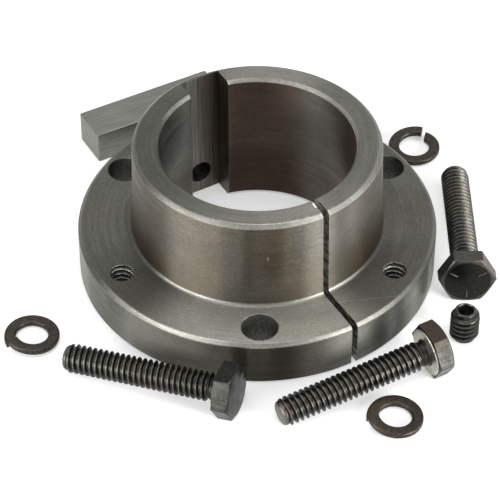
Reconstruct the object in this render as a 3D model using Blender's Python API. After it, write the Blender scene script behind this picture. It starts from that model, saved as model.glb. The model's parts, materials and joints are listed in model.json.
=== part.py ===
"""Split tapered quick disconnect bushing with its loose hardware.

The bushing stands on its flange, small end of the taper up. Its key, three cap screws,
three lock washers and set screw lie on the same floor around the flange.
Units are metres and +Z is up. The origin is the middle of the set's footprint on the floor.
"""

import math

import bmesh
import bpy
from mathutils import Matrix, Vector

INCH = 0.0254

# Bushing: tapered hub, the flange that stands out beyond it, and the bore within its wall
TAPER_LARGE_DIAMETER = 2.1875 * INCH
TAPER_PER_LENGTH = 0.75 / 12
FLANGE_LEDGE = 0.46875 * INCH
FLANGE_THICKNESS = 0.4375 * INCH
OVERALL_LENGTH = 1.3125 * INCH
HUB_END_WALL = 0.22266 * INCH
FLANGE_EDGE = 0.0007
FLANGE_BACK_EDGE = 0.0004
HUB_EDGE = 0.0007
BORE_EDGE = 0.0007
HUB_FILLET = 0.0008

# Bushing: keyway, saw cut and holes
KEYWAY_BEARING = math.radians(120.5)
KEYWAY_WEB = 0.0014
SPLIT_WIDTH = 0.0014
SPLIT_OFFSET = 0.0008
BOLT_FROM_RIM = 0.21875 * INCH
BOLT_BEARING = math.radians(-89)
BOLT_COUNT = 3
CLEARANCE_HOLE = 0.3125 * INCH
TAP_DRILL = 0.201 * INCH
HOLE_EDGE = 0.00025

# Hardware: quarter-inch cap screws, lock washers and set screw, and the key
THREAD_DIAMETER = 0.25 * INCH
SCREW_LENGTH = 1.375 * INCH
SCREW_NECK_DIAMETER = 0.0055
SCREW_NECK_LENGTH = 0.0012
SCREW_POINT = 0.0009
HEAD_ACROSS_FLATS = 0.4375 * INCH
HEAD_HEIGHT = 0.0041
HEAD_CHAMFER = math.radians(28)
WASHER_FACE = 0.0003
WASHER_BORE = 0.0070
WASHER_WIDTH = 0.0025
WASHER_THICKNESS = 0.0014
WASHER_RISE = 0.0013
WASHER_GAP = 0.00075
WASHER_SKEW = math.radians(17)
WASHER_EDGE = 0.0003
SET_SCREW_LENGTH = 0.3125 * INCH
SET_SCREW_SOCKET = 0.125 * INCH
SET_SCREW_SOCKET_DEPTH = 0.0032
SET_SCREW_EDGE = 0.0008
SET_SCREW_CUP = 0.0034
SET_SCREW_CUP_DEPTH = 0.0011
KEY_WIDTH = 0.375 * INCH
KEY_HEIGHT = 0.3125 * INCH
KEY_LENGTH = 1.3125 * INCH
KEY_EDGE = 0.0003

# Layout: bearings and headings are seen from above, counter-clockwise from +X
KEY_BEARING = math.radians(119.3)
KEY_FROM_FLANGE = 0.0063
LEFT_SCREW_BEARING = math.radians(-99.5)
LEFT_SCREW_GAP = 0.0014
LEFT_SCREW_HEADING = math.radians(160.4)
FRONT_SCREW_BEARING = math.radians(-45.2)
FRONT_SCREW_GAP = 0.00465
FRONT_SCREW_HEADING = math.radians(-153)
RIGHT_SCREW_BEARING = math.radians(-12.6)
RIGHT_SCREW_GAP = 0.00104
RIGHT_SCREW_HEADING = math.radians(90.8)
LEFT_WASHER_BEARING = math.radians(133.8)
LEFT_WASHER_GAP = 0.00255
LEFT_WASHER_SPLIT = math.radians(210)
FRONT_WASHER_ALONG = 0.0128
FRONT_WASHER_GAP = 0.0006
FRONT_WASHER_SPLIT = math.radians(186)
RIGHT_WASHER_BEARING = math.radians(125.6)
RIGHT_WASHER_GAP = 0.00558
RIGHT_WASHER_SPLIT = math.radians(60)
SET_SCREW_BEARING = math.radians(-96.2)
SET_SCREW_GAP = 0.0079

# Round pieces: sides of each circle
FLANGE_SIDES = 120
HOLE_SIDES = 36
SCREW_SIDES = 40
WASHER_STEPS = 48

FLANGE_RADIUS = TAPER_LARGE_DIAMETER / 2 + FLANGE_LEDGE
HUB_LENGTH = OVERALL_LENGTH - FLANGE_THICKNESS
HUB_END_RADIUS = (TAPER_LARGE_DIAMETER - TAPER_PER_LENGTH * HUB_LENGTH) / 2
BORE_RADIUS = HUB_END_RADIUS - HUB_END_WALL
BOLT_RADIUS = FLANGE_RADIUS - BOLT_FROM_RIM
THREAD_RADIUS = THREAD_DIAMETER / 2
HEAD_CORNER_RADIUS = HEAD_ACROSS_FLATS / math.sqrt(3)
WASHER_RADIUS = WASHER_BORE / 2 + WASHER_WIDTH
WASHER_MIDDLE = (WASHER_BORE + WASHER_WIDTH) / 2
CUT_MARGIN = 0.002


def polar(radius, bearing, height=0.0):
    """Point at a radius and bearing round +Z."""
    return Vector((radius * math.cos(bearing), radius * math.sin(bearing), height))


def taper_radius(height):
    """Radius of the hub's tapered side at a height above the floor."""
    return (TAPER_LARGE_DIAMETER - TAPER_PER_LENGTH * (height - FLANGE_THICKNESS)) / 2


def clear_scene():
    """Remove every object of the open scene."""
    for item in list(bpy.data.objects):
        bpy.data.objects.remove(item, do_unlink=True)


def metal(name, colour, roughness):
    """Bare or oxide-finished steel."""
    material = bpy.data.materials.new(name)
    material.use_nodes = True
    shader = material.node_tree.nodes["Principled BSDF"]
    shader.inputs["Base Color"].default_value = (*colour, 1.0)
    shader.inputs["Metallic"].default_value = 1.0
    shader.inputs["Roughness"].default_value = roughness
    return material


def add_object(name, shape, parent, material=None):
    """Turn a bmesh into an object below the layout's empty."""
    mesh = bpy.data.meshes.new(name)
    bmesh.ops.recalc_face_normals(shape, faces=shape.faces)
    shape.to_mesh(mesh)
    shape.free()
    mesh.shade_smooth()
    mesh.set_sharp_from_angle(angle=math.radians(30))
    item = bpy.data.objects.new(name, mesh)
    item.parent = parent
    bpy.context.collection.objects.link(item)
    if material:
        mesh.materials.append(material)
    return item


def turned(profile, sides):
    """Revolve (radius, height) points about +Z. Ends that lie on the axis close to a point."""
    shape = bmesh.new()
    points = [shape.verts.new((radius, 0.0, height)) for radius, height in profile]
    edges = [shape.edges.new(pair) for pair in zip(points, points[1:])]
    if profile[0][0] > 0:
        edges.append(shape.edges.new((points[-1], points[0])))
    bmesh.ops.spin(shape, geom=points + edges, cent=(0, 0, 0), axis=(0, 0, 1),
                   angle=math.tau, steps=sides, use_merge=True)
    bmesh.ops.remove_doubles(shape, verts=shape.verts, dist=1e-7)
    return shape


def prism(radius, low, high, sides, place=Matrix()):
    """Upright prism or cylinder between two heights, then moved by a matrix."""
    shape = bmesh.new()
    middle = Matrix.Translation((0, 0, (low + high) / 2))
    bmesh.ops.create_cone(shape, cap_ends=True, segments=sides, radius1=radius, radius2=radius,
                          depth=high - low, matrix=place @ middle)
    return shape


def block(low, high, place=Matrix()):
    """Box between two corners, then moved by a matrix."""
    low, high = Vector(low), Vector(high)
    size = Matrix.Diagonal((*(high - low), 1.0))
    shape = bmesh.new()
    bmesh.ops.create_cube(shape, size=1.0, matrix=place @ Matrix.Translation((low + high) / 2) @ size)
    return shape


def joined(shapes):
    """Put several bmeshes that don't touch into one."""
    whole = bmesh.new()
    for shape in shapes:
        mesh = bpy.data.meshes.new("part_of_cutter")
        shape.to_mesh(mesh)
        shape.free()
        whole.from_mesh(mesh)
        bpy.data.meshes.remove(mesh)
    return whole


def cut(target, name, shape, operation="DIFFERENCE"):
    """Cut a hidden shape from an object, or keep only what lies inside it."""
    cutter = add_object(name, shape, target)
    cutter.hide_render = True
    cutter.display_type = "WIRE"
    boolean = target.modifiers.new(name, "BOOLEAN")
    boolean.operation = operation
    boolean.object = cutter


def fillet(centre, radius, start, end, steps=4):
    """Points of an arc from one angle to another."""
    points = []
    for step in range(steps + 1):
        angle = start + (end - start) * step / steps
        points.append((centre[0] + radius * math.cos(angle), centre[1] + radius * math.sin(angle)))
    return points


def bushing_profile():
    """Half section of flange, tapered hub and bore, from the bore's foot round the outside."""
    fillet_top = FLANGE_THICKNESS + HUB_FILLET
    fillet_centre = (taper_radius(fillet_top) + HUB_FILLET, fillet_top)
    hub_shoulder = OVERALL_LENGTH - HUB_EDGE
    return [
        (BORE_RADIUS + BORE_EDGE, 0.0),
        (FLANGE_RADIUS - FLANGE_BACK_EDGE, 0.0),
        (FLANGE_RADIUS, FLANGE_BACK_EDGE),
        (FLANGE_RADIUS, FLANGE_THICKNESS - FLANGE_EDGE),
        (FLANGE_RADIUS - FLANGE_EDGE, FLANGE_THICKNESS),
        *fillet(fillet_centre, HUB_FILLET, -math.pi / 2, -math.pi),
        (taper_radius(hub_shoulder), hub_shoulder),
        (HUB_END_RADIUS - HUB_EDGE, OVERALL_LENGTH),
        (BORE_RADIUS + BORE_EDGE, OVERALL_LENGTH),
        (BORE_RADIUS, OVERALL_LENGTH - BORE_EDGE),
        (BORE_RADIUS, BORE_EDGE),
    ]


def hole_ring(diameter, first_bearing):
    """Cutters for holes through the flange, spaced evenly on the bolt circle."""
    radius = diameter / 2
    mouth = radius + 2 * HOLE_EDGE
    profile = [
        (0.0, -HOLE_EDGE),
        (mouth, -HOLE_EDGE),
        (radius, HOLE_EDGE),
        (radius, FLANGE_THICKNESS - HOLE_EDGE),
        (mouth, FLANGE_THICKNESS + HOLE_EDGE),
        (0.0, FLANGE_THICKNESS + HOLE_EDGE),
    ]
    holes = []
    for number in range(BOLT_COUNT):
        hole = turned(profile, HOLE_SIDES)
        bearing = first_bearing + math.tau * number / BOLT_COUNT
        bmesh.ops.translate(hole, verts=hole.verts, vec=polar(BOLT_RADIUS, bearing))
        holes.append(hole)
    return joined(holes)


def make_bushing(layout):
    """Flanged tapered bushing, keyed inside and sawn through on the side away from the key."""
    steel = metal("bushing_steel", (0.33, 0.33, 0.30), 0.35)
    bushing = add_object("bushing", turned(bushing_profile(), FLANGE_SIDES), layout, steel)

    toward_key = Matrix.Rotation(KEYWAY_BEARING, 4, "Z")
    keyway_floor = HUB_END_RADIUS - KEYWAY_WEB
    keyway = block((BORE_RADIUS / 2, -KEY_WIDTH / 2, -CUT_MARGIN),
                   (keyway_floor, KEY_WIDTH / 2, OVERALL_LENGTH + CUT_MARGIN), toward_key)
    cut(bushing, "keyway", keyway)

    away_from_key = Matrix.Rotation(KEYWAY_BEARING + math.pi, 4, "Z")
    split = block((BORE_RADIUS / 2, SPLIT_OFFSET - SPLIT_WIDTH / 2, -CUT_MARGIN),
                  (FLANGE_RADIUS + CUT_MARGIN, SPLIT_OFFSET + SPLIT_WIDTH / 2,
                   OVERALL_LENGTH + CUT_MARGIN), away_from_key)
    cut(bushing, "split", split)

    cut(bushing, "clearance_holes", hole_ring(CLEARANCE_HOLE, BOLT_BEARING))
    cut(bushing, "tapped_holes", hole_ring(TAP_DRILL, BOLT_BEARING + math.pi / BOLT_COUNT))

    through_rim = prism(TAP_DRILL / 2, BORE_RADIUS, FLANGE_RADIUS + CUT_MARGIN, HOLE_SIDES,
                        Matrix.Translation((0, 0, FLANGE_THICKNESS / 2)) @ toward_key
                        @ Matrix.Rotation(math.pi / 2, 4, "Y"))
    cut(bushing, "set_screw_hole", through_rim)


def make_key(layout):
    """Flat key with its edges eased."""
    key = add_object("key", block((-KEY_LENGTH / 2, -KEY_WIDTH / 2, 0),
                                  (KEY_LENGTH / 2, KEY_WIDTH / 2, KEY_HEIGHT)),
                     layout, metal("key_steel", (0.20, 0.20, 0.19), 0.4))
    eased = key.modifiers.new("eased_edges", "BEVEL")
    eased.width = KEY_EDGE
    eased.segments = 2
    key.rotation_euler.z = KEY_BEARING - math.pi / 2
    key.location = polar(FLANGE_RADIUS + KEY_FROM_FLANGE + KEY_WIDTH / 2, KEY_BEARING)


def screw_profile():
    """Half section of a cap screw, from its point up to the middle of its head."""
    head_top = SCREW_LENGTH + HEAD_HEIGHT
    blank = HEAD_CORNER_RADIUS + CUT_MARGIN
    flat_top = HEAD_ACROSS_FLATS / 2 - WASHER_FACE
    drop = (blank - flat_top) * math.tan(HEAD_CHAMFER)
    neck = SCREW_NECK_DIAMETER / 2
    thread_end = SCREW_LENGTH - SCREW_NECK_LENGTH
    return [
        (0.0, 0.0),
        (THREAD_RADIUS - SCREW_POINT, 0.0),
        (THREAD_RADIUS, SCREW_POINT),
        (THREAD_RADIUS, thread_end - (THREAD_RADIUS - neck)),
        (neck, thread_end),
        (neck, SCREW_LENGTH),
        (flat_top, SCREW_LENGTH),
        (flat_top, SCREW_LENGTH + WASHER_FACE),
        (blank, SCREW_LENGTH + WASHER_FACE),
        (blank, head_top - drop),
        (flat_top, head_top),
        (0.0, head_top),
    ]


def make_screw(side, layout, bearing, from_flange, heading):
    """Hexagon cap screw lying on a flat of its head and on its point.

    The middle of its bearing face is at a bearing and at a distance from the flange's rim,
    and the screw points along its heading.
    """
    screw = add_object("cap_screw_" + side, turned(screw_profile(), SCREW_SIDES), layout,
                       metal("cap_screw_oxide_" + side, (0.060, 0.053, 0.046), 0.4))
    hexagon = prism(HEAD_CORNER_RADIUS, -CUT_MARGIN, SCREW_LENGTH + HEAD_HEIGHT + CUT_MARGIN, 6)
    cut(screw, "hexagon_" + side, hexagon, "INTERSECT")

    contact_length = SCREW_LENGTH + WASHER_FACE - SCREW_POINT
    dip = math.atan((HEAD_ACROSS_FLATS / 2 - THREAD_RADIUS) / contact_length)
    face = polar(FLANGE_RADIUS + HEAD_CORNER_RADIUS + from_flange, bearing)
    screw.rotation_euler = (0, math.pi / 2 - dip, heading + math.pi)
    screw.location = face + polar(SCREW_LENGTH * math.cos(dip), heading)
    screw.location.z = THREAD_RADIUS * math.cos(dip) - SCREW_POINT * math.sin(dip)
    return screw


def washer_end(radius, side):
    """Bearing at which one side of the washer's slanting cut meets a radius."""
    offset = side * WASHER_GAP / 2 - WASHER_MIDDLE * math.sin(WASHER_SKEW)
    return WASHER_SKEW + math.asin(offset / radius)


def washer_shape():
    """Ring of eased rectangular section on a left-handed helix, cut through near +X.

    The low end is just clockwise of +X and the height rises on the way round.
    """
    low, high = WASHER_BORE / 2, WASHER_RADIUS
    edge = WASHER_EDGE
    section = [
        (low, edge), (low + edge, 0.0), (high - edge, 0.0), (high, edge),
        (high, WASHER_THICKNESS - edge), (high - edge, WASHER_THICKNESS),
        (low + edge, WASHER_THICKNESS), (low, WASHER_THICKNESS - edge),
    ]
    shape = bmesh.new()
    rings = []
    for step in range(WASHER_STEPS + 1):
        part = step / WASHER_STEPS
        ring = []
        for radius, height in section:
            start = washer_end(radius, -1)
            sweep = washer_end(radius, 1) - start - math.tau
            ring.append(shape.verts.new(polar(radius, start + sweep * part,
                                              height + WASHER_RISE * part)))
        rings.append(ring)
    for near, far in zip(rings, rings[1:]):
        for corner in range(len(section)):
            after = (corner + 1) % len(section)
            shape.faces.new((near[corner], near[after], far[after], far[corner]))
    shape.faces.new(rings[0])
    shape.faces.new(rings[-1])
    return shape


def make_washer(side, layout, place, split_bearing):
    """Split lock washer, resting on its low end and on the outer edge opposite."""
    washer = add_object("lock_washer_" + side, washer_shape(), layout,
                        metal("lock_washer_oxide_" + side, (0.075, 0.068, 0.060), 0.4))
    helix_slope = WASHER_RISE / (math.tau - WASHER_GAP / WASHER_MIDDLE) / WASHER_RADIUS
    end_slope = WASHER_RISE / 2 / (WASHER_RADIUS + WASHER_MIDDLE)
    washer.rotation_euler = (-helix_slope, -end_slope, split_bearing)
    washer.location = place
    lower_to_floor(washer)


def make_set_screw(layout, place):
    """Cup point set screw standing on its cup, hexagon socket up."""
    profile = [
        (0.0, SET_SCREW_CUP_DEPTH),
        (SET_SCREW_CUP / 2, 0.0),
        (THREAD_RADIUS - SET_SCREW_EDGE, 0.0),
        (THREAD_RADIUS, SET_SCREW_EDGE),
        (THREAD_RADIUS, SET_SCREW_LENGTH - SET_SCREW_EDGE),
        (THREAD_RADIUS - SET_SCREW_EDGE, SET_SCREW_LENGTH),
        (0.0, SET_SCREW_LENGTH),
    ]
    set_screw = add_object("set_screw", turned(profile, SCREW_SIDES), layout,
                           metal("set_screw_oxide", (0.085, 0.080, 0.074), 0.4))
    socket = prism(SET_SCREW_SOCKET / math.sqrt(3), SET_SCREW_LENGTH - SET_SCREW_SOCKET_DEPTH,
                   SET_SCREW_LENGTH + CUT_MARGIN, 6)
    cut(set_screw, "socket", socket)
    set_screw.location = place


def world_points(items):
    """Vertices of finished objects in the scene's frame."""
    bpy.context.view_layer.update()
    depsgraph = bpy.context.evaluated_depsgraph_get()
    points = []
    for item in items:
        finished = item.evaluated_get(depsgraph)
        mesh = finished.to_mesh()
        points.extend(finished.matrix_world @ vertex.co for vertex in mesh.vertices)
        finished.to_mesh_clear()
    return points


def lower_to_floor(item):
    """Set an object's lowest point on the floor."""
    item.location.z -= min(point.z for point in world_points([item]))


def centre_on_origin(layout):
    """Move the layout so that the middle of its footprint is at the origin."""
    visible = [item for item in layout.children if item.type == "MESH"]
    points = world_points(visible)
    for axis in (0, 1):
        values = [point[axis] for point in points]
        layout.location[axis] = -(min(values) + max(values)) / 2


def build():
    """Make every piece and lay the set out on the floor."""
    clear_scene()
    layout = bpy.data.objects.new("layout", None)
    bpy.context.collection.objects.link(layout)

    make_bushing(layout)
    make_key(layout)

    left = make_screw("left", layout, LEFT_SCREW_BEARING, LEFT_SCREW_GAP, LEFT_SCREW_HEADING)
    front = make_screw("front", layout, FRONT_SCREW_BEARING, FRONT_SCREW_GAP, FRONT_SCREW_HEADING)
    right = make_screw("right", layout, RIGHT_SCREW_BEARING, RIGHT_SCREW_GAP, RIGHT_SCREW_HEADING)

    beside_shank = WASHER_RADIUS + THREAD_RADIUS
    left_washer = left.location + polar(beside_shank + LEFT_WASHER_GAP, LEFT_WASHER_BEARING)
    make_washer("left", layout, left_washer, LEFT_WASHER_SPLIT)
    along_front = front.location - polar(SCREW_LENGTH - FRONT_WASHER_ALONG, FRONT_SCREW_HEADING)
    outward = polar(beside_shank + FRONT_WASHER_GAP, FRONT_SCREW_HEADING + math.pi / 2)
    make_washer("front", layout, along_front + outward, FRONT_WASHER_SPLIT)
    right_washer = right.location + polar(beside_shank + RIGHT_WASHER_GAP, RIGHT_WASHER_BEARING)
    make_washer("right", layout, right_washer, RIGHT_WASHER_SPLIT)

    right_head = right.location - polar(SCREW_LENGTH + HEAD_HEIGHT, RIGHT_SCREW_HEADING)
    beside_head = right_head + polar(THREAD_RADIUS + SET_SCREW_GAP, SET_SCREW_BEARING)
    make_set_screw(layout, Vector((beside_head.x, beside_head.y, 0)))

    centre_on_origin(layout)


build()
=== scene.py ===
"""Looks of a split tapered quick disconnect bushing and its loose hardware."""

import json
import math

import bmesh
import bpy
from bpy.props import FloatProperty, FloatVectorProperty, PointerProperty
from mathutils import Matrix, Vector

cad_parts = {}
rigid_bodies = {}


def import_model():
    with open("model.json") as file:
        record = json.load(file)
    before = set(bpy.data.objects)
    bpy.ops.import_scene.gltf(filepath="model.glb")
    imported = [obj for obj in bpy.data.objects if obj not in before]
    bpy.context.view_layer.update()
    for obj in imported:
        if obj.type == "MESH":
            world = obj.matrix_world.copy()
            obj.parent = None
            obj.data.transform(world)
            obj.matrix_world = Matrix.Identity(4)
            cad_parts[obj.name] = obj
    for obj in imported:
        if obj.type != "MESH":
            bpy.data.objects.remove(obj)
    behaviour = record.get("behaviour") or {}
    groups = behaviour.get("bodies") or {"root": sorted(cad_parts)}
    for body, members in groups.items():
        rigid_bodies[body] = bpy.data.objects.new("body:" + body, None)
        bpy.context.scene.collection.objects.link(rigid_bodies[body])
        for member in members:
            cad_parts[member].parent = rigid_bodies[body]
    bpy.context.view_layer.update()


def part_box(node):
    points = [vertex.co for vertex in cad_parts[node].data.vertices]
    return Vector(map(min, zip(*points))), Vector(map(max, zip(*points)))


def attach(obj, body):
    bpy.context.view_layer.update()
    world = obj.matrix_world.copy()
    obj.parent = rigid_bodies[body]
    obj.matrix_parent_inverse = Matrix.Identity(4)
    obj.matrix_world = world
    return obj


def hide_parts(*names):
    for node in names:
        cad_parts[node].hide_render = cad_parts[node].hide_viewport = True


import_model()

bl_info = {
    "name": "Quick Disconnect Bushing",
    "version": (1, 0, 0),
    "blender": (4, 5, 0),
    "location": "3D View > Sidebar > Bushing",
    "description": "Builds a split tapered bushing, its hardware and a plain studio",
    "category": "Object",
}

INCH = 0.0254
PITCH = INCH / 20
THREAD_DEPTH = 0.613 * PITCH
RIDGE_HALF = 0.36
RIDGE_SECTION = ((-0.36, 1.15), (-0.33, 0.95), (-0.29, 0.84), (-0.085, 0.10), (-0.04, 0.0),
                 (0.04, 0.0), (0.085, 0.10), (0.29, 0.84), (0.33, 0.95), (0.36, 1.15))
THREAD_STEPS = 48
ROUND_STEPS = 288
HOLE_STEPS = 64

BUSHING_LOW, BUSHING_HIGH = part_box("bushing")
AXIS = Vector(((BUSHING_LOW.x + BUSHING_HIGH.x) / 2, (BUSHING_LOW.y + BUSHING_HIGH.y) / 2, 0))

# Soft lights: bearing from the camera's side and elevation in degrees, distance, width, height, radiance
SOFTBOXES = {
    "left_near": (-40, 14, 0.50, 0.20, 0.22, 6.7),
    "left_far": (-62, 14, 0.50, 0.22, 0.22, 8.8),
    "right_near": (52, 14, 0.50, 0.20, 0.22, 19.0),
    "right_far": (80, 14, 0.50, 0.22, 0.22, 5.8),
    "overhead": (0, 98, 0.60, 0.24, 0.40, 2.9),
    "upper_left": (-60, 70, 0.60, 0.30, 0.30, 1.2),
    "upper_right": (60, 70, 0.60, 0.30, 0.30, 1.5),
}
FLOOR_GLOW = 0.38
FOCAL_PIXELS = 2439.17
PICTURE_PIXELS = 500
AIM_ASIDE = -0.00292
AIM_UP = 0.00219

# Cut of a lock washer, and radii of the flange's holes
WASHER_SKEW = math.radians(17)
CLEARANCE_RADIUS = 0.15625 * INCH
SIDE_HOLE_RADIUS = 0.0027
TAPPED_ROOT = 0.00296
TAPPED_CREST = 0.00257

# Places of the loose pieces, seen from above, counter-clockwise from +X: a screw's bearing, gap and heading
SCREW_PLACES = {
    "left": (math.radians(-99.5), 0.0014, math.radians(160.4)),
    "front": (math.radians(-45.2), 0.00465, math.radians(-153)),
    "right": (math.radians(-12.6), 0.00104, math.radians(90.8)),
}
WASHER_SPLITS = {
    "left": math.radians(210),
    "front": math.radians(186),
    "right": math.radians(60),
}
WASHER_FACE = 0.0003
SCREW_POINT = 0.0009
KEY_BEARING = math.radians(119.3)
KEY_FROM_FLANGE = 0.0063

# Colours of stains, rust and grade marks, and the side of the hub where fine scores lie
FACED_STAIN = (0.105, 0.101, 0.087)
TAPER_STAIN = (0.138, 0.120, 0.088)
BORE_STAIN = (0.100, 0.086, 0.074)
RUST = (0.052, 0.038, 0.033)
GRADE_MARK = (0.10, 0.10, 0.094)
SCORED_SIDE = (0.75, math.radians(-68), 0.66)

# Strokes on the bushing: start, end, width and tone. Patches of painted light and shade, which lighten or
# darken the colour round +Z: bearing, half width in degrees where full, half width where it ends, tone, and
# the heights where it starts and is full, if not everywhere
MARKS = (
    ((0.0156, -0.0268, 0.0111), (0.0304, -0.0245, 0.0111), 0.00012, 1.6),
    ((0.0069, -0.0396, 0.0109), (0.0087, -0.0395, 0.0109), 0.00025, 0.25),
    ((0.0371, -0.0158, 0.0111), (0.0373, -0.0150, 0.0105), 0.00030, 0.30),
    ((0.0119, -0.0199, 0.0333), (0.0123, -0.0207, 0.0333), 0.00035, 5.0),
    ((0.0205, 0.0085, 0.0331), (0.0207, 0.0087, 0.0331), 0.00020, 5.0),
    ((0.0023, -0.0273, 0.0240), (0.0023, -0.0273, 0.0247), 0.00020, 3.2),
    ((0.0132, -0.0373, 0.0111), (0.0186, -0.0358, 0.0111), 0.00050, 1.4),
    ((0.0076, -0.02643, 0.0225), (0.0089, -0.02602, 0.0224), 0.00010, 1.9),
    ((0.0094, -0.02584, 0.0200), (0.0111, -0.02516, 0.0202), 0.00010, 1.8),
    ((0.0103, -0.02550, 0.0172), (0.0117, -0.02489, 0.0171), 0.00010, 1.7),
    ((0.0083, -0.02621, 0.0151), (0.0100, -0.02561, 0.0152), 0.00010, 1.8),
    ((0.0112, -0.02512, 0.0238), (0.0121, -0.02469, 0.0237), 0.00010, 1.9),
)
ALL_HEIGHTS = (-1.0, 0.0)
# Painted highlight on the front of the flange's face, lighter toward its back, darker between
FACED_PAINTED_SHADING = (
    (-89, 21, 46, 2.25),
    (91, 96, 127, 1.30),
)
# Painted highlight on the right of the hub's end
HUB_END_PAINTED_SHADING = (
    (10, 53, 120, 1.50),
)
# Painted shade on the rim's front, and painted sheens to its right and left
RIM_PAINTED_SHADING = (
    (-86, 3, 13, (0.36, 0.36, 0.33)),
    (-97, 20, 36, (0.90, 0.87, 0.82)),
    (-44, 2, 9, 0.55),
    (-24, 5, 11, 1.60),
    (-12, 5, 13, 2.20),
    (-172, 7, 17, 1.90),
    (-145, 12, 24, 1.20),
)
# Painted highlight on the front of the rim's chamfers, and lighter at the back
RIM_EDGE_PAINTED_SHADING = (
    (-95, 42, 58, 2.10),
    (-110, 4, 14, 1.40),
    (-89, 5, 12, 0.84),
    (80, 90, 125, 1.45),
)
# Painted shade on the taper's sides and back toward the flange, and in narrow strips at its front
TAPER_PAINTED_SHADING = (
    (85, 125, 148, (0.45, 0.41, 0.35), 0.029, 0.013),
    (-87, 5, 11, (0.62, 0.59, 0.58), 0.013, 0.022),
    (-58, 6, 16, (0.82, 0.84, 0.86)),
)
# Painted light and shade inside the bore
BORE_PAINTED_SHADING = (
    (40, 30, 50, 1.50, 0.019, 0.030),
    (50, 12, 28, (1.22, 1.36, 1.40), 0.008, 0.020),
    (152, 12, 22, (2.05, 2.30, 2.50), 0.010, 0.020),
    (86, 14, 34, (0.68, 0.57, 0.52)),
    (90, 14, 30, (0.66, 0.62, 0.60), 0.018, 0.008),
    (18, 10, 24, (1.00, 0.92, 0.86)),
    (157, 20, 32, (0.90, 0.98, 0.96)),
)
# Painted shade on the left and right of the fillet at the hub's foot, and on the left of the hub end's
# chamfers
EDGE_PAINTED_SHADING = (
    (178, 34, 50, (0.40, 0.38, 0.36), 0.0135, 0.0125),
    (-172, 22, 38, 0.60, 0.029, 0.031),
    (0, 34, 50, (0.42, 0.40, 0.38), 0.0135, 0.0125),
)
FINISHES = ("faced", "hub_end", "rim", "taper", "edge", "rim_edge", "bore", "broached",
            "drilled", "sawn", "crest", "groove")


# Sizes and colours that a user would change

def size(name, description, default):
    """Setting for a length."""
    return FloatProperty(name=name, description=description, default=default, unit="LENGTH", precision=5)


def angle(name, description, default):
    """Setting for an angle."""
    return FloatProperty(name=name, description=description, default=default, unit="ROTATION")


def tint(name, description, default):
    """Setting for a colour."""
    return FloatVectorProperty(name=name, description=description, default=default,
                               subtype="COLOR", min=0, max=1)


class BushingSizes(bpy.types.PropertyGroup):
    """Sizes of the bushing itself."""

    flange_radius: size("Flange radius", "From the axis to the flange's rim", 1.5625 * INCH)
    flange_thickness: size("Flange thickness", "From the outer face to the taper side", 0.4375 * INCH)
    length: size("Length", "From the flange's outer face to the hub's end", 1.3125 * INCH)
    taper_radius: size("Taper radius", "Radius of the taper where it meets the flange", 1.09375 * INCH)
    hub_end_radius: size("Hub end radius", "Radius of the taper at the hub's end", 1.06641 * INCH)
    bore_radius: size("Bore radius", "Radius of the shaft's bore", 0.84375 * INCH)
    edge: size("Edge", "Chamfer of the rim, the hub's end and the bore", 0.0007)
    bolt_radius: size("Bolt circle radius", "From the axis to the holes in the flange", 1.34375 * INCH)
    bolt_bearing: angle("Bolt bearing", "Bearing of the front clearance hole", math.radians(-89))
    keyway_bearing: angle("Keyway bearing", "Bearing of the keyway and the set screw's hole",
                          math.radians(120.5))
    keyway_web: size("Keyway web", "Wall left between the keyway and the hub's end", 0.0014)
    split_width: size("Split width", "Width of the saw cut", 0.0014)
    split_offset: size("Split offset", "From the axis to the middle of the saw cut", 0.0008)


class HardwareSizes(bpy.types.PropertyGroup):
    """Sizes of the key, screws and washers."""

    thread_radius: size("Thread radius", "Outer radius of the quarter-inch threads", 0.125 * INCH)
    screw_length: size("Screw length", "From the point to the head's bearing face", 1.375 * INCH)
    head_flats: size("Head across flats", "Width of the hexagon head", 0.4375 * INCH)
    head_height: size("Head height", "From the bearing face to the head's top", 0.0041)
    washer_bore: size("Washer bore", "Inner diameter of the lock washers", 0.0070)
    washer_width: size("Washer width", "Radial width of the lock washers' section", 0.0025)
    washer_thickness: size("Washer thickness", "Thickness of the lock washers' section", 0.0014)
    washer_rise: size("Washer rise", "Height between the two ends of a lock washer", 0.0013)
    washer_gap: size("Washer gap", "Width of the lock washers' slanting cut", 0.00075)
    set_screw_length: size("Set screw length", "From the cup to the socket's end", 0.3125 * INCH)
    key_size: FloatVectorProperty(
        name="Key size", description="Length, width and height of the key",
        default=(1.3125 * INCH, 0.375 * INCH, 0.3125 * INCH), unit="LENGTH", precision=5)


class FinishColours(bpy.types.PropertyGroup):
    """Colours of the metals."""

    bushing_steel: tint("Bushing steel", "Faced and turned steel of the flange and the hub's end",
                        (0.146, 0.145, 0.128))
    taper_steel: tint("Taper steel", "Warmer steel of the tapered side", (0.136, 0.124, 0.105))
    bore_steel: tint("Bore steel", "Brownish steel of the bore and keyway", (0.114, 0.096, 0.081))
    key_steel: tint("Key steel", "Drawn steel of the key", (0.215, 0.215, 0.193))
    screw_oxide: tint("Screw oxide", "Brown-black finish of the cap screws", (0.049, 0.049, 0.044))
    washer_oxide: tint("Washer oxide", "Dark finish of the lock washers", (0.046, 0.041, 0.034))
    set_screw_oxide: tint("Set screw oxide", "Dark grey finish of the set screw", (0.042, 0.042, 0.037))


class StudioSettings(bpy.types.PropertyGroup):
    """Floor, lights and camera."""

    floor_colour: tint("Floor colour", "Pale floor under the set", (0.84, 0.84, 0.84))
    ambient: FloatProperty(
        name="Ambient", description="Strength of the soft light from all round",
        default=0.30, min=0)
    camera_distance: size("Camera distance", "From the camera to the bushing's foot", 0.54816)
    camera_elevation: angle("Camera elevation", "Angle of the camera above the floor", 0.75069)


# Places

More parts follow.
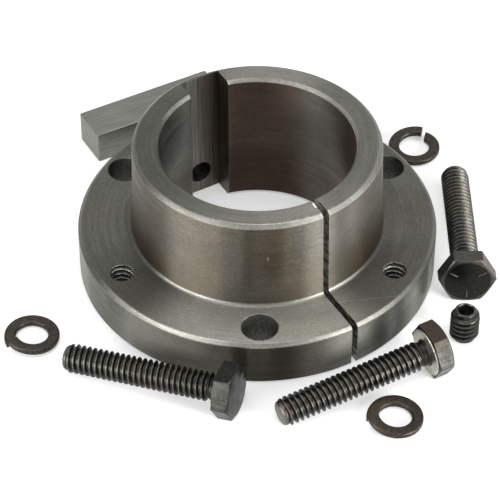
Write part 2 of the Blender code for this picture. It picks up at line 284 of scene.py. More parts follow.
def polar(radius, bearing, height=0.0):
    """Point at a radius and bearing round +Z."""
    return Vector((radius * math.cos(bearing), radius * math.sin(bearing), height))




def head_corner(sizes):
    """Radius of the hexagon head's corners."""
    return sizes.head_flats / math.sqrt(3)


def screw_matrix(side, bushing, sizes):
    """Place of a cap screw that lies on its head's flat and on its point."""
    bearing, gap, heading = SCREW_PLACES[side]
    contact = sizes.screw_length + WASHER_FACE - SCREW_POINT
    dip = math.atan((sizes.head_flats / 2 - sizes.thread_radius) / contact)
    face = AXIS + polar(bushing.flange_radius + head_corner(sizes) + gap, bearing)
    place = face + polar(sizes.screw_length * math.cos(dip), heading)
    place.z = sizes.thread_radius * math.cos(dip) - SCREW_POINT * math.sin(dip)
    turn = Matrix.Rotation(heading + math.pi, 4, "Z") @ Matrix.Rotation(math.pi / 2 - dip, 4, "Y")
    return Matrix.Translation(place) @ turn


def washer_matrix(side, sizes):
    """Place of a lock washer that lies on its low end and on its outer edge opposite."""
    low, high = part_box("lock_washer_" + side)
    outer = sizes.washer_bore / 2 + sizes.washer_width
    middle = (sizes.washer_bore + sizes.washer_width) / 2
    slope = sizes.washer_rise / (math.tau - sizes.washer_gap / middle) / outer
    end_slope = sizes.washer_rise / 2 / (outer + middle)
    turn = (Matrix.Rotation(WASHER_SPLITS[side], 4, "Z") @ Matrix.Rotation(-end_slope, 4, "Y")
            @ Matrix.Rotation(-slope, 4, "X"))
    return Matrix.Translation(((low.x + high.x) / 2, (low.y + high.y) / 2, 0)) @ turn


# Shapes

def spin_profile(points, steps):
    """Revolve (radius, height) points about +Z. A profile that starts off the axis is closed."""
    shape = bmesh.new()
    verts = [shape.verts.new((radius, 0, height)) for radius, height in points]
    edges = [shape.edges.new(pair) for pair in zip(verts, verts[1:])]
    if points[0][0] > 0:
        edges.append(shape.edges.new((verts[-1], verts[0])))
    bmesh.ops.spin(shape, geom=verts + edges, cent=(0, 0, 0), axis=(0, 0, 1),
                   angle=math.tau, steps=steps, use_merge=True)
    bmesh.ops.remove_doubles(shape, verts=shape.verts, dist=1e-7)
    bmesh.ops.recalc_face_normals(shape, faces=shape.faces)
    return shape


def box_shape(low, high, place=Matrix()):
    """Box between two corners."""
    low, high = Vector(low), Vector(high)
    shape = bmesh.new()
    bmesh.ops.create_cube(shape, size=1.0, matrix=place @ Matrix.Translation((low + high) / 2)
                          @ Matrix.Diagonal((*(high - low), 1.0)))
    return shape


def prism_shape(radius, depth, sides, place):
    """Upright prism or cylinder about its place."""
    shape = bmesh.new()
    bmesh.ops.create_cone(shape, cap_ends=True, segments=sides, radius1=radius, radius2=radius,
                          depth=depth, matrix=place)
    return shape


def round_edges(shape, width, segments):
    """Round every edge of a bmesh."""
    bmesh.ops.bevel(shape, geom=shape.edges[:], offset=width, offset_type="OFFSET",
                    affect="EDGES", segments=segments, profile=0.5, material=-1)


def thread_ridge(crest, root, low, high, limit):
    """Closed helical ridge of a thread along +Z, its section spun while it climbs.

    Its foot lies under the root. The limit gives the radius that a height allows the crest,
    and both ends fade out.
    """
    depth = crest - root
    start = low + RIDGE_HALF * PITCH
    turns = (high - low) / PITCH - 2 * RIDGE_HALF
    shape = bmesh.new()
    section = shape.faces.new([shape.verts.new((crest - deep * depth, 0, start + part * PITCH))
                               for part, deep in RIDGE_SECTION])
    bmesh.ops.spin(shape, geom=[section] + section.edges[:] + section.verts[:], cent=(0, 0, 0),
                   axis=(0, 0, 1), angle=math.tau * turns, steps=round(turns * THREAD_STEPS),
                   dvec=(0, 0, turns * PITCH / round(turns * THREAD_STEPS)))
    for vert in shape.verts:
        radius = math.hypot(vert.co.x, vert.co.y)
        part = math.atan2(vert.co.y, vert.co.x) / math.tau
        turn = part + round((vert.co.z - start) / PITCH - part)
        fade = min(1.0, max(0.0, min(turn, turns - turn) / 0.4))
        held = root + (radius - root) * fade
        if (radius - root) * depth < 0:
            held = radius
        allowed = limit(vert.co.z)
        held = min(held, allowed) if depth > 0 else max(held, allowed)
        vert.co.x *= held / radius
        vert.co.y *= held / radius
    bmesh.ops.recalc_face_normals(shape, faces=shape.faces)
    return shape


def link_new(name, data):
    """New object in the scene."""
    item = bpy.data.objects.new(name, data)
    bpy.context.scene.collection.objects.link(item)
    return item


def to_object(name, shape, material=None):
    """Object at the origin from a bmesh."""
    mesh = bpy.data.meshes.new(name)
    shape.to_mesh(mesh)
    shape.free()
    if material:
        mesh.materials.append(material)
    return link_new(name, mesh)


def add_shape(item, shape):
    """Put a bmesh into a piece's mesh as it is."""
    whole = bmesh.new()
    whole.from_mesh(item.data)
    extra = bpy.data.meshes.new("extra")
    shape.to_mesh(extra)
    shape.free()
    whole.from_mesh(extra)
    bpy.data.meshes.remove(extra)
    whole.to_mesh(item.data)
    whole.free()


def settle(item):
    """Put a piece's vertices and faces in one lasting order, which its making leaves to chance."""
    shape = bmesh.new()
    shape.from_mesh(item.data)
    order = sorted(shape.verts, key=lambda vert: tuple(round(part, 7) for part in vert.co))
    rank = {vert: number for number, vert in enumerate(order)}
    rings = []
    for face in shape.faces:
        ring = [rank[vert] for vert in face.verts]
        first = ring.index(min(ring))
        rings.append((ring[first:] + ring[:first], face.material_index))
    fresh = bmesh.new()
    verts = [fresh.verts.new(vert.co) for vert in order]
    for ring, material in sorted(rings):
        fresh.faces.new([verts[number] for number in ring]).material_index = material
    fresh.to_mesh(item.data)
    fresh.free()
    shape.free()


def carve(item, cutters):
    """Apply Boolean cuts, each a bmesh and what it does, then drop the cutters."""
    for number, (shape, operation) in enumerate(cutters):
        cutter = to_object(f"cutter_{number}", shape)
        boolean = item.modifiers.new("cut", "BOOLEAN")
        boolean.operation = operation
        boolean.solver = "EXACT"
        boolean.object = cutter
        apply_modifiers(item)
        settle(item)
        bpy.data.objects.remove(cutter, do_unlink=True)


def apply_modifiers(item):
    """Put a piece's modifiers into its mesh."""
    depsgraph = bpy.context.evaluated_depsgraph_get()
    mesh = bpy.data.meshes.new_from_object(item.evaluated_get(depsgraph))
    old = item.data
    item.modifiers.clear()
    item.data = mesh
    bpy.data.meshes.remove(old)
    mesh.name = item.name


def soften_edges(item, width, segments=2, angle=30):
    """Round a piece's sharp edges a little."""
    bevel = item.modifiers.new("soft_edges", "BEVEL")
    bevel.width = width
    bevel.segments = segments
    bevel.limit_method = "ANGLE"
    bevel.angle_limit = math.radians(angle)
    bevel.use_clamp_overlap = True
    apply_modifiers(item)


def finish_piece(item, nodes, place=Matrix(), smooth=35):
    """Set a piece in place, shade it, and let it stand for its solid."""
    settle(item)
    item.data.transform(place)
    item.data.shade_smooth()
    item.data.set_sharp_from_angle(angle=math.radians(smooth))
    weighted = item.modifiers.new("flat_faces", "WEIGHTED_NORMAL")
    weighted.keep_sharp = True
    apply_modifiers(item)
    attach(item, "root")
    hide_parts(*nodes)


# Materials

class Tree:
    """Adds and links shader nodes."""

    def __init__(self, tree):
        self.tree = tree

    def add(self, kind, **settings):
        """New node with its settings."""
        node = self.tree.nodes.new(kind)
        for key, value in settings.items():
            setattr(node, key, value)
        return node

    def link(self, start, end):
        """Join an output to an input."""
        self.tree.links.new(start, end)

    def feed(self, socket, value):
        """Link a socket, or set it."""
        if isinstance(value, bpy.types.NodeSocket):
            self.link(value, socket)
        else:
            socket.default_value = value

    def math(self, operation, first, second=0.0, third=None, clamp=False):
        """Math node's output."""
        node = self.add("ShaderNodeMath", operation=operation, use_clamp=clamp)
        self.feed(node.inputs[0], first)
        self.feed(node.inputs[1], second)
        if third is not None:
            self.feed(node.inputs[2], third)
        return node.outputs[0]

    def vector(self, operation, first, second=None, output="Vector"):
        """Vector Math node's output."""
        node = self.add("ShaderNodeVectorMath", operation=operation)
        self.feed(node.inputs[0], first)
        if second is not None:
            self.feed(node.inputs[1], second)
        return node.outputs[output]

    def noise(self, vector, scale, detail=2.0, roughness=0.5, fourth=None):
        """Noise between 0 and 1, in three dimensions or in four."""
        node = self.add("ShaderNodeTexNoise")
        if fourth is not None:
            node.noise_dimensions = "4D"
            self.feed(node.inputs["W"], fourth)
        self.feed(node.inputs["Vector"], vector)
        node.inputs["Scale"].default_value = scale
        node.inputs["Detail"].default_value = detail
        node.inputs["Roughness"].default_value = roughness
        return node.outputs["Fac"]

    def ramp(self, value, low, high, start=0.0, end=1.0):
        """Map a value from one range to another, held at its ends."""
        node = self.add("ShaderNodeMapRange", interpolation_type="SMOOTHSTEP")
        self.feed(node.inputs["Value"], value)
        self.feed(node.inputs["From Min"], low)
        self.feed(node.inputs["From Max"], high)
        self.feed(node.inputs["To Min"], start)
        self.feed(node.inputs["To Max"], end)
        return node.outputs["Result"]

    def parts(self, vector):
        """The three parts of a vector."""
        node = self.add("ShaderNodeSeparateXYZ")
        self.link(vector, node.inputs[0])
        return node.outputs

    def mix(self, factor, first, second, blend="MIX"):
        """Mixed colour."""
        node = self.add("ShaderNodeMix", data_type="RGBA", blend_type=blend)
        self.feed(node.inputs[0], factor)
        self.feed(node.inputs[6], first)
        self.feed(node.inputs[7], second)
        return node.outputs[2]

    def seen(self):
        """One for the rays that show a surface, and none for those that light others."""
        path = self.add("ShaderNodeLightPath").outputs
        mirrored = self.math("MAXIMUM", path["Is Camera Ray"], path["Is Glossy Ray"])
        return self.math("MAXIMUM", mirrored, path["Is Transmission Ray"])

    def toned(self, colour, tone):
        """Colour times a tone of one number or three."""
        tone = tone if isinstance(tone, tuple) else (tone, tone, tone)
        return self.mix(1.0, colour, (*tone, 1.0), "MULTIPLY")


def shared_group(name, fill, inputs, outputs):
    """Node group that is made once and filled, then found again.

    Inputs are labels with a default each, or None for a vector. Outputs are labels of values.
    """
    group = bpy.data.node_groups.get(name)
    if group:
        return group
    group = bpy.data.node_groups.new(name, "ShaderNodeTree")
    for label, default in inputs.items():
        kind = "NodeSocketVector" if default is None else "NodeSocketFloat"
        socket = group.interface.new_socket(label, in_out="INPUT", socket_type=kind)
        if default is not None:
            socket.default_value = default
    for label in outputs:
        group.interface.new_socket(label, in_out="OUTPUT", socket_type="NodeSocketFloat")
    tree = Tree(group)
    fill(tree, tree.add("NodeGroupInput").outputs, tree.add("NodeGroupOutput").inputs)
    return group


def fill_turning_marks(tree, given, wanted):
    """Fine rings that a lathe tool leaves round +Z, on faces and on turned sides alike."""
    x, y = tree.parts(given["Position"])[:2]
    radius, z = from_axis(tree, given["Position"])
    feed = tree.math("DIVIDE", 1.0, given["Feed"])
    rings = tree.add("ShaderNodeCombineXYZ")
    tree.link(tree.math("MULTIPLY", radius, feed), rings.inputs[0])
    tree.link(tree.math("MULTIPLY", z, feed), rings.inputs[1])
    tree.link(tree.math("MULTIPLY", tree.math("DIVIDE", x, radius), 9.0), rings.inputs[2])
    around = tree.math("MULTIPLY", tree.math("DIVIDE", y, radius), 9.0)
    fine = tree.noise(rings.outputs[0], 1.0, 2.0, 0.6, around)
    wide = tree.noise(rings.outputs[0], 0.22, 3.0, 0.6, around)
    tree.link(fine, wanted["Height"])
    tree.link(wide, wanted["Streaks"])


def fill_specks(tree, given, wanted):
    """Small pits and pale specks scattered over a surface."""
    cells = tree.add("ShaderNodeTexVoronoi", feature="F1")
    tree.link(given["Position"], cells.inputs["Vector"])
    tree.link(given["Scale"], cells.inputs["Scale"])
    dot = tree.ramp(cells.outputs["Distance"], 0.10, 0.32, 1.0, 0.0)
    pick = tree.add("ShaderNodeSeparateColor")
    tree.link(cells.outputs["Color"], pick.inputs[0])
    chosen = tree.math("LESS_THAN", pick.outputs[0], given["Share"])
    tree.link(tree.math("MULTIPLY", dot, chosen), wanted["Mask"])
    tree.link(tree.noise(given["Position"], 130.0, 4.0, 0.6), wanted["Patches"])


def fill_stroke(tree, given, wanted):
    """Mask of a short stroke between two points."""
    span = tree.vector("SUBTRACT", given["End"], given["Start"])
    away = tree.vector("SUBTRACT", given["Position"], given["Start"])
    along = tree.math("DIVIDE", tree.vector("DOT_PRODUCT", away, span, output="Value"),
                      tree.vector("DOT_PRODUCT", span, span, output="Value"), clamp=True)
    scaled = tree.add("ShaderNodeVectorMath", operation="SCALE")
    tree.link(span, scaled.inputs[0])
    tree.link(along, scaled.inputs["Scale"])
    reach = tree.vector("DISTANCE", away, scaled.outputs[0], output="Value")
    rough = tree.math("MULTIPLY_ADD", tree.noise(given["Position"], 3000.0), 0.0003, reach)
    edge = tree.math("MULTIPLY", given["Width"], 1.5)
    level = tree.math("SUBTRACT", rough, 0.00012)
    tree.link(tree.ramp(level, tree.math("MULTIPLY", edge, 0.3), edge, 1.0, 0.0), wanted["Mask"])


# Each group: how it is filled, its inputs with a default, or None for a vector, and its outputs
NODE_GROUPS = {
    "turning_marks": (fill_turning_marks, {"Position": None, "Feed": 0.00012}, ("Height", "Streaks")),
    "specks": (fill_specks, {"Position": None, "Scale": 900.0, "Share": 0.06}, ("Mask", "Patches")),
    "stroke": (fill_stroke, {"Position": None, "Start": None, "End": None, "Width": 0.0002}, ("Mask",)),
}


def place_group(tree, name, **values):
    """Outputs of a group node in a material, with its inputs fed."""
    node = tree.add("ShaderNodeGroup", node_tree=shared_group(name, *NODE_GROUPS[name]))
    for label, value in values.items():
        tree.feed(node.inputs[label], value)
    return node.outputs


def start_material(name, roughness, anisotropy=0.0):
    """Metal material with its shader and the object's own coordinates."""
    material = bpy.data.materials.new(name)
    material.use_nodes = True
    tree = Tree(material.node_tree)
    shader = material.node_tree.nodes["Principled BSDF"]
    shader.inputs["Metallic"].default_value = 1.0
    shader.inputs["Roughness"].default_value = roughness
    shader.inputs["Anisotropic"].default_value = anisotropy
    coordinates = tree.add("ShaderNodeTexCoord").outputs["Object"]
    return material, tree, shader, coordinates


def own_frame(tree, coordinates, place):
    """Coordinates in a piece's own frame, from its place in the set."""
    mapping = tree.add("ShaderNodeMapping", vector_type="TEXTURE")
    tree.link(coordinates, mapping.inputs["Vector"])
    mapping.inputs["Location"].default_value = place.to_translation()
    mapping.inputs["Rotation"].default_value = place.to_euler()
    return mapping.outputs[0]


def from_axis(tree, position):
    """Distance from +Z, and the height."""
    x, y, z = tree.parts(position)
    square = tree.math("ADD", tree.math("MULTIPLY", x, x), tree.math("MULTIPLY", y, y))
    return tree.math("SQRT", square), z


def bump(tree, shader, height, strength, distance):
    """Bump that feeds a shader's normal."""
    node = tree.add("ShaderNodeBump")
    node.inputs["Strength"].default_value = strength
    node.inputs["Distance"].default_value = distance
    tree.link(height, node.inputs["Height"])
    tree.link(node.outputs[0], shader.inputs["Normal"])


def scaled(colour, amount):
    """Colour made lighter or darker, up to white."""
    return tuple(min(1.0, channel * amount) for channel in colour)


def shade(colour, amount):
    """Colour made lighter or darker, as a socket's value."""
    return (*scaled(colour, amount), 1.0)


def grey(level):
    """Grey of any level, as a socket's value."""
    return (level, level, level, 1.0)


def marked(tree, position, colour):
    """Colour with the bushing's chips, burr and scratches on it."""
    for start, end, width, tone in MARKS:
        stroke = place_group(tree, "stroke", Position=position, Start=start, End=end,
                             Width=width)
        colour = tree.mix(stroke["Mask"], colour, tree.toned(colour, tone))
    return colour


def with_painted_shading(tree, position, colour, patches):
    """Colour with broad patches of painted light and shade round +Z."""
    level = tree.vector("NORMALIZE", tree.vector("MULTIPLY", position, (1, 1, 0)))
    height = from_axis(tree, position)[1]
    for bearing, full, ends, tone, *heights in patches:
        starts, whole = heights or ALL_HEIGHTS
        facing = tree.vector("DOT_PRODUCT", level, polar(1, math.radians(bearing)), output="Value")
        inside = tree.ramp(facing, math.cos(math.radians(ends)), math.cos(math.radians(full)))
        share = tree.math("MULTIPLY", inside, tree.ramp(height, starts, whole))
        colour = tree.mix(share, colour, tree.toned(colour, tone))
    return colour


def lathe_material(name, colour, roughness, anisotropy, feed, streaks, speckle, stain=None,
                   patches=()):
    """Machined steel whose rings round +Z stretch its highlights across them.

    The stain is a second colour that takes over in broad patches. The patches given paint light and shade
    round +Z.
    """
    material, tree, shader, coordinates = start_material(name, roughness, anisotropy)
    position = own_frame(tree, coordinates, Matrix.Translation(AXIS))
    marks = place_group(tree, "turning_marks", Position=position, Feed=feed)
    specks = place_group(tree, "specks", Position=position, Scale=1700.0, Share=0.12)
    grain = tree.noise(position, 1900.0, 3.0, 0.8)
    streaked = tree.mix(tree.ramp(marks["Streaks"], 0.35, 0.65),
                        shade(colour, 1 + streaks), shade(colour, 1 - streaks))
    patched = tree.mix(tree.ramp(specks["Patches"], 0.35, 0.70, 0.0, 0.5), streaked,
                       shade(colour, 0.72), "MIX")
    darkened = tree.mix(tree.ramp(grain, 0.30, 0.48, speckle, 0.0), patched, shade(colour, 0.35))
    grained = tree.mix(tree.ramp(grain, 0.52, 0.70, 0.0, speckle), darkened, shade(colour, 2.0))
    speckled = tree.mix(tree.math("MULTIPLY", specks["Mask"], speckle), grained,
                        shade(colour, 2.6))
    if stain:
        broad = tree.ramp(tree.noise(position, 55.0, 3.0, 0.6), 0.42, 0.66)
        change = tuple(new / old for new, old in zip(stain, colour))
        speckled = tree.mix(broad, speckled, tree.toned(speckled, change))
    scored = tree.noise(tree.vector("MULTIPLY", position, (1.0, 1.0, 7.0)), 650.0, 2.0, 0.6)
    facing = tree.vector("DOT_PRODUCT", tree.vector("NORMALIZE", position),
                         polar(*SCORED_SIDE), output="Value")
    scores = tree.math("MULTIPLY", tree.ramp(scored, 0.56, 0.66),
                       tree.ramp(facing, 0.965, 0.99, 0.0, 0.55))
    # Painted light and shade, in patches round +Z
    painted_shading_colour = with_painted_shading(tree, position, speckled, patches)
    scratched = tree.mix(scores, painted_shading_colour, tree.toned(painted_shading_colour, (1.8, 1.8, 1.7)))
    tree.link(marked(tree, position, scratched), shader.inputs["Base Color"])
    tree.link(tree.ramp(marks["Streaks"], 0.3, 0.7, roughness - 0.05, roughness + 0.05),
              shader.inputs["Roughness"])
    around = tree.vector("NORMALIZE", tree.vector("CROSS_PRODUCT", (0, 0, 1), position))
    tree.link(around, shader.inputs["Tangent"])
    shader.inputs["Anisotropic Rotation"].default_value = 0.25
    bump(tree, shader, marks["Height"], 0.3, 0.00002)
    return material


def broached_material(colour, steel, bearing):
    """Keyway steel with the broach's lines along +Z, more brown toward one side, which partly paints shade
    there, and paler toward the other, which partly paints light.
    """
    material, tree, shader, coordinates = start_material("broached_steel", 0.42)
    place = Matrix.Translation(AXIS) @ Matrix.Rotation(bearing, 4, "Z")
    position = own_frame(tree, coordinates, place)
    lines = tree.noise(tree.vector("MULTIPLY", position, (1.0, 1.0, 0.02)), 1500.0, 3.0, 0.7)
    # One side more brown with duller lines, partly painted shade; the other paler, partly painted light
    browner_and_shaded = tree.ramp(tree.parts(position)[1], 0.0020, -0.0025)
    dark = tree.mix(browner_and_shaded, shade(steel, 0.55), shade(colour, 0.70))
    pale = tree.mix(browner_and_shaded, shade(steel, 1.60), shade(colour, 1.20))
    tree.link(tree.mix(tree.ramp(lines, 0.35, 0.68), dark, pale), shader.inputs["Base Color"])
    bump(tree, shader, lines, 0.3, 0.00005)
    return material


def rough_cut_material(name, colour, scale, squeeze, dark, pale):
    """Sawn or drilled steel, dark and ridged across +Z. Its tones also paint shade and highlights on the saw
    cut and the tapped threads.
    """
    material, tree, shader, coordinates = start_material(name, 0.5)
    position = own_frame(tree, coordinates, Matrix.Translation(AXIS))
    ridges = tree.noise(tree.vector("MULTIPLY", position, squeeze), scale, 3.0, 0.7)
    tree.link(tree.mix(tree.ramp(ridges, 0.40, 0.65), shade(colour, dark), shade(colour, pale)),
              shader.inputs["Base Color"])
    bump(tree, shader, ridges, 0.5, 0.00010)
    return material




def bushing_materials(colours, bearing):
    """Materials of the bushing's surfaces, in the order of FINISHES."""
    steel, warm, brown = colours.bushing_steel, colours.taper_steel, colours.bore_steel
    return [
        # The turned surfaces' steel is scaled darker or lighter, and their patches lighten or darken it round
        # +Z, as painted light and shade; the chamfers and fillet (edge) are half as light again as the steel,
        # a painted highlight.
        lathe_material("faced_steel", scaled(steel, 0.71), 0.42, 0.92, 0.00018, 0.06, 0.34,
                       FACED_STAIN, FACED_PAINTED_SHADING),
        lathe_material("hub_end_steel", scaled(steel, 0.80), 0.42, 0.95, 0.00018, 0.05, 0.22,
                       patches=HUB_END_PAINTED_SHADING),
        lathe_material("rim_steel", scaled(steel, 0.86), 0.42, 0.95, 0.00022, 0.06, 0.25,
                       patches=RIM_PAINTED_SHADING),
        lathe_material("taper_steel", warm, 0.42, 0.95, 0.00018, 0.08, 0.34,
                       TAPER_STAIN, TAPER_PAINTED_SHADING),
        lathe_material("edge_steel", scaled(steel, 1.50), 0.40, 0.5, 0.00018, 0.20, 0.35,
                       patches=EDGE_PAINTED_SHADING),
        lathe_material("rim_edge_steel", scaled(steel, 0.73), 0.40, 0.5, 0.00018, 0.20, 0.35,
                       patches=RIM_EDGE_PAINTED_SHADING),
        lathe_material("bored_steel", brown, 0.40, 0.60, 0.00020, 0.06, 0.22,
                       BORE_STAIN, BORE_PAINTED_SHADING),
        broached_material(brown, steel, bearing),
        rough_cut_material("drilled_steel", steel, 1800.0, (1.0, 1.0, 2.5), 0.6, 1.4),
        # The saw cut: saw marks, painted with the shade of the narrow slot and highlights on the ridges
        rough_cut_material("sawn_steel", steel, 900.0, (0.4, 0.4, 1.8), 0.4, 4.0),
        # Tapped threads: painted highlight on the crests, painted shade in the grooves
        rough_cut_material("thread_crest_painted_highlight", steel, 1800.0, (1.0, 1.0, 1.0), 4.0, 7.0),
        rough_cut_material("thread_groove_painted_shade", steel, 1800.0, (1.0, 1.0, 1.0), 0.2, 0.5),
    ]


def finish_at(face, sizes):
    """Which of FINISHES a face of the bushing has, in the bushing's own frame."""
    middle, upright = face.center, abs(face.normal.z)
    radius = math.hypot(middle.x, middle.y)
    toward_key = polar(1, sizes.keyway_bearing)
    beside_key = polar(1, sizes.keyway_bearing + math.pi / 2)
    along, across = middle.dot(toward_key), middle.dot(beside_key)
    near = 0.0001
    keyway_side = 0.00485
    past_bore, inside_rim = 0.02, 0.0392
    groove_reach, hole_reach = 0.0035, 0.0047
    in_split = abs(across + sizes.split_offset) < sizes.split_width / 2 + near and along < 0
    if in_split and upright < 0.5 and abs(face.normal.dot(beside_key)) > 0.9:
        return "sawn"
    if (upright < 0.5 and abs(across) < keyway_side and along < sizes.hub_end_radius - sizes.keyway_web + near
            and along > sizes.bore_radius * 0.95):
        return "broached"
    for number in range(6):
        bearing = sizes.bolt_bearing + number * math.pi / 3
        reach = (middle.xy - polar(sizes.bolt_radius, bearing).xy).length
        below = near < middle.z < sizes.flange_thickness - near
        # Crest and groove faces of the tapped threads take their painted highlight and painted shade
        if number % 2 and reach < TAPPED_CREST + 0.00014 and below:
            return "crest"
        if number % 2 and reach < groove_reach and below:
            return "groove"
        if reach < hole_reach and upright < 0.95:
            return "drilled"
    if radius < sizes.bore_radius * 1.01 and upright < 0.5:
        return "bore"
    from_side_hole = math.hypot(across, middle.z - sizes.flange_thickness / 2)
    if from_side_hole < SIDE_HOLE_RADIUS + near and past_bore < along < inside_rim:
        return "drilled"
    if 0.1 < upright < 0.98:
        return "rim_edge" if radius > sizes.flange_radius - 0.002 else "edge"
    if upright > 0.5:
        return "faced" if middle.z < sizes.length * 0.9 else "hub_end"
    return "rim" if middle.z < sizes.flange_thickness else "taper"


def key_material(colour):
    """Drawn steel with faint scratches along the bar."""
    material, tree, shader, coordinates = start_material("drawn_steel", 0.42)
    mapping = tree.add("ShaderNodeMapping", vector_type="TEXTURE")
    tree.link(coordinates, mapping.inputs["Vector"])
    mapping.inputs["Rotation"].default_value = (0, 0, KEY_BEARING - math.pi / 2)
    stretched = tree.vector("MULTIPLY", mapping.outputs[0], (0.05, 1.0, 1.0))
    grain = tree.noise(stretched, 3000.0, 3.0, 0.6)
    specks = place_group(tree, "specks", Position=coordinates, Scale=1400.0, Share=0.08)
    grained = tree.mix(tree.ramp(grain, 0.35, 0.65), shade(colour, 1.0), shade(colour, 0.75))
    speckled = tree.mix(tree.math("MULTIPLY", specks["Mask"], 0.4), grained, shade(colour, 1.5))
    tree.link(speckled, shader.inputs["Base Color"])
    tree.link(tree.ramp(specks["Patches"], 0.35, 0.7, 0.36, 0.5), shader.inputs["Roughness"])
    bump(tree, shader, grain, 0.15, 0.00003)
    return material


def oxide_material(name, colour, roughness, wear_and_shading=None, grain=0.12):
    """Dark oxide finish, a little rusty in patches and rubbed paler in specks.

    Wear and painted shading, where given, takes the tree, the coordinates and the colour so far, and puts out
    a new colour.
    """
    material, tree, shader, coordinates = start_material(name, roughness)
    specks = place_group(tree, "specks", Position=coordinates, Scale=1800.0, Share=0.14)
    rust = (colour[0] * 1.12, colour[1] * 0.98, colour[2] * 0.90, 1.0)
    patched = tree.mix(tree.ramp(specks["Patches"], 0.50, 0.66), shade(colour, 1.0), rust)
    mottle = tree.noise(coordinates, 1500.0, 3.0, 0.8)
    darkened = tree.mix(tree.ramp(mottle, 0.35, 0.50, 0.6, 0.0), patched, shade(colour, 0.4))
    mottled = tree.mix(tree.ramp(mottle, 0.52, 0.68, 0.0, 0.35), darkened, shade(colour, 2.2))
    final = tree.mix(tree.math("MULTIPLY", specks["Mask"], 0.35), mottled,
                     shade(colour, 3.0))
    if wear_and_shading:
        final = wear_and_shading(tree, coordinates, final)
    tree.link(final, shader.inputs["Base Color"])
    tree.link(tree.ramp(specks["Patches"], 0.3, 0.7, roughness - 0.06, roughness + 0.08),
              shader.inputs["Roughness"])
    bump(tree, shader, tree.noise(coordinates, 2500.0, 3.0, 0.6), grain, 0.00003)
    return material


def thread_wear_and_shading(place, radius, crest=2.3, root=0.75, core=1.0):
    """Wear and painted highlight that brighten a thread's crests, painted shade that darkens its roots, and a
    tone for its core.
    """
    def wear_and_shading(tree, coordinates, colour):
        reach = from_axis(tree, own_frame(tree, coordinates, place))[0]
        # Brighter crests: wear and a painted highlight. Darker roots: painted shade.
        on_crest = tree.ramp(reach, radius - 0.00014, radius - 0.00002)
        in_root = tree.ramp(reach, radius - 0.00080, radius - 0.00035, 1.0, 0.0)
        bright = tree.toned(colour, crest)
        dark = tree.toned(colour, root)
        worn_and_shaded = tree.mix(in_root, tree.mix(on_crest, colour, bright), dark)
        in_core = tree.math("LESS_THAN", reach, radius * 0.62)
        return tree.mix(in_core, worn_and_shaded, tree.toned(colour, core))
    return wear_and_shading


def screw_wear_and_shading(place, sizes, rusty, flats):
    """Wear and painted light of a cap screw: its thread, its dark end face, its paler face under the head,
    lit up on the front screw as a painted reflection, painted shade toward its neck, and its rust.
    """
    root = (0.72, 0.66, 0.60) if rusty else (0.75, 0.73, 0.69)
    on_thread = thread_wear_and_shading(place, sizes.thread_radius, root=root)
    head = sizes.screw_length

    def wear_and_shading(tree, coordinates, colour):
        position = own_frame(tree, coordinates, place)
        reach, height = from_axis(tree, position)
        along = tree.noise(tree.vector("MULTIPLY", position, (1.0, 1.0, 0.06)), 2600.0, 2.0, 0.6)
        drawn = tree.mix(1.0, colour, tree.mix(along, grey(0.4 * flats), grey(1.5 * flats)), "MULTIPLY")
        dark_end = tree.toned(colour, 0.40)
        at_end = tree.math("MULTIPLY",
                           tree.ramp(height, head + sizes.head_height - 0.00010,
                                     head + sizes.head_height - 0.00006),
                           tree.ramp(reach, sizes.head_flats / 2 - 0.0006,
                                     sizes.head_flats / 2 - 0.0004, 1.0, 0.0))
        above = tree.math("GREATER_THAN", height, head - 0.0004)
        on_mark = tree.math("GREATER_THAN", height, head + sizes.head_height + 0.00002)
        ended = tree.mix(on_mark, dark_end, (*GRADE_MARK, 1.0))
        under = tree.math("MULTIPLY", tree.ramp(height, head + 0.00015, head + 0.00025, 1.0, 0.0),
                          tree.math("GREATER_THAN", reach, sizes.thread_radius - 0.0001))
        # The face under the head is made paler; on the front screw it is lit up strongly, a painted
        # reflection
        bare_and_reflection = 15.0 if rusty else 1.6
        bared_and_reflecting = tree.mix(under, drawn, tree.toned(drawn, bare_and_reflection))
        on_head = tree.mix(at_end, bared_and_reflecting, ended)
        if rusty:
            side = tree.parts(position)[0]
            flat = sizes.head_flats / 2
            on_top = tree.math("MULTIPLY",
                               tree.ramp(side, -flat + 0.00022, -flat + 0.00008),
                               tree.ramp(tree.noise(coordinates, 900.0, 3.0, 0.8), 0.35, 0.6, 0.25, 1.0))
            on_head = tree.mix(on_top, on_head, (*RUST, 1.0))
        tip = tree.ramp(height, 0.00002, 0.0012, 1.0, 0.0)
        shank = tree.mix(tip, on_thread(tree, coordinates, colour),
                         tree.toned(colour, (2.5, 2.65, 2.85)))
        # Painted shade on the shank toward the neck, under the head
        neck = tree.ramp(height, head - 0.0024, head - 0.0012, 0.0, 0.8)
        shank = tree.mix(neck, shank, tree.toned(colour, (0.35, 0.33, 0.30)))
        return tree.mix(above, shank, on_head)
    return wear_and_shading


# Pieces

def washer_end(sizes, radius, side):
    """Bearing at which one side of a washer's slanting cut meets a radius."""
    middle = (sizes.washer_bore + sizes.washer_width) / 2
    offset = side * sizes.washer_gap / 2 - middle * math.sin(WASHER_SKEW)
    return WASHER_SKEW + math.asin(offset / radius)


def rounded(corner, radius, start, end, steps=3):
    """Points of an arc round a centre, from one angle to another."""
    return [(corner[0] + radius * math.cos(start + (end - start) * step / steps),
             corner[1] + radius * math.sin(start + (end - start) * step / steps))
            for step in range(steps + 1)]


